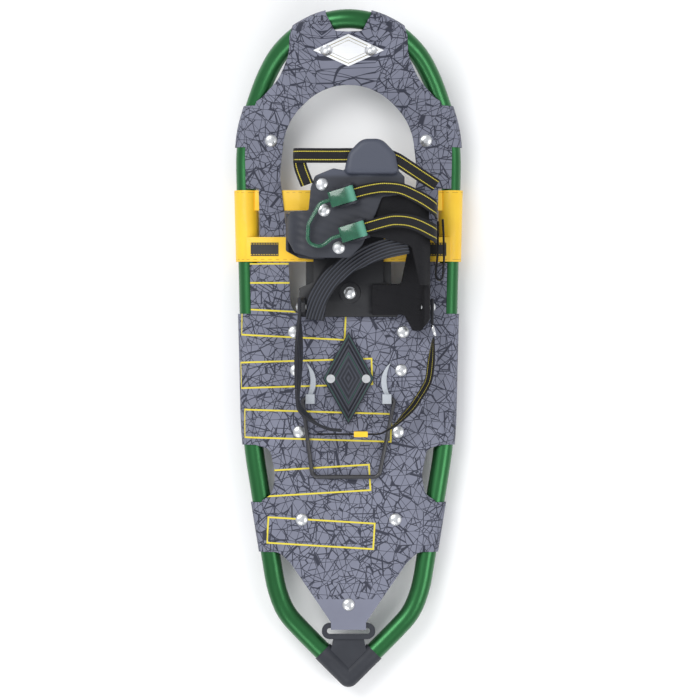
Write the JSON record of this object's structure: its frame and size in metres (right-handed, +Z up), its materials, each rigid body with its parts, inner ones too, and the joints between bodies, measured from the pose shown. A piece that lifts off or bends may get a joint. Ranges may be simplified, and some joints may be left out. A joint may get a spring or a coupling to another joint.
{
  "type": "snowshoe",
  "caption": "Tubular-frame snowshoe with a wrapped flexible deck, strap-hung toe binding with crampon, heel strap, traction rails and fold-up heel lift",
  "frame": {"origin": "middle of the plan, on the ground under the tooth tips", "axes": "+Y towards the toe, +X to the right seen from above with the toe up, +Z up"},
  "size_m": [0.2154, 0.6341, 0.1052],
  "materials": {
    "tube_green": "anodised metallic green",
    "dark_plastic": "moulded, matte",
    "deck_fabric": "coated woven sheet with a random line print",
    "plate_white": "satin",
    "rivet_steel": "satin dome",
    "rail_steel": "black coated steel",
    "grey_plastic": "moulded",
    "strap_yellow": "coated nylon webbing",
    "label_black": "plain",
    "black_plastic": "moulded, matte",
    "slate_rubber": "moulded urethane",
    "black_webbing": "woven webbing with thin yellow stripes",
    "buckle_green": "tinted, slightly clear",
    "black_wire": "black coated wire",
    "ring_chrome": "polished"
  },
  "bodies": {
    "frame": {"frame_tube": "tube_green", "tail_coupler": "dark_plastic", "deck": "deck_fabric", "nose_plate": "plate_white", "nose_rivets": "rivet_steel", "deck_rivets": "rivet_steel", "rail_rivets": "rivet_steel", "heel_pad": "dark_plastic", "heel_pad_screws": "rivet_steel", "side_rail_left": "rail_steel", "side_rail_right": "rail_steel", "lift_clip_left": "grey_plastic", "lift_clip_right": "grey_plastic", "suspension_strap_left": "strap_yellow", "suspension_strap_right": "strap_yellow", "strap_labels": "label_black"},
    "binding": {"binding_base": "black_plastic", "toe_crampon": "rail_steel", "base_rivet_set": "rivet_steel", "left_wing": "slate_rubber", "right_wing": "black_webbing", "toe_strap": "black_webbing", "strap_front": "black_webbing", "strap_rear": "black_webbing", "buckle_body_front": "black_plastic", "buckle_body_rear": "black_plastic", "buckle_pins": "rivet_steel", "wing_rivets": "rivet_steel", "strap_tails": "black_webbing", "heel_arm": "slate_rubber", "heel_pins": "rivet_steel"},
    "release": {"cam_lever_front": "buckle_green", "cam_lever_rear": "buckle_green", "pull_loop": "buckle_green"},
    "heel_lift": {"heel_lift_bail": "black_wire"},
    "heel_loop": {"heel_strap_left": "slate_rubber", "heel_strap_rear": "slate_rubber", "heel_webbing_right": "black_webbing", "heel_webbing_rear": "black_webbing", "heel_link": "slate_rubber", "heel_wire_ring": "ring_chrome"},
    "keeper": {"strap_keeper": "strap_yellow"}
  },
  "joints": [
    {"name": "binding_pivot", "type": "hinge", "parent": "frame", "child": "binding", "pos_m": [0, 0.119, 0.036], "axis": [-1, 0, 0], "range_deg": [0, 45], "stiffness_Nm_per_rad": 0.25, "deforming": ["suspension_strap_left", "suspension_strap_right"]},
    {"name": "release_lever", "type": "hinge", "parent": "binding", "child": "release", "pos_m": [0.00267, 0.14419, 0.1018], "axis": [-0.2924, 0.9563, 0], "range_deg": [0, 55]},
    {"name": "heel_lift", "type": "hinge", "parent": "frame", "child": "heel_lift", "pos_m": [0, -0.046, 0.0391], "axis": [-1, 0, 0], "range_deg": [0, 100], "deforming": ["heel_strap_rear", "heel_webbing_rear"]},
    {"name": "heel_loop", "type": "hinge", "parent": "binding", "child": "heel_loop", "pos_m": [0, 0.04, 0.056], "axis": [-1, 0, 0], "range_deg": [0, 75]},
    {"name": "keeper_slide", "type": "slide", "parent": "heel_loop", "child": "keeper", "axis": [1, 0, 0], "range_m": [-0.01, 0.01]}
  ]
}
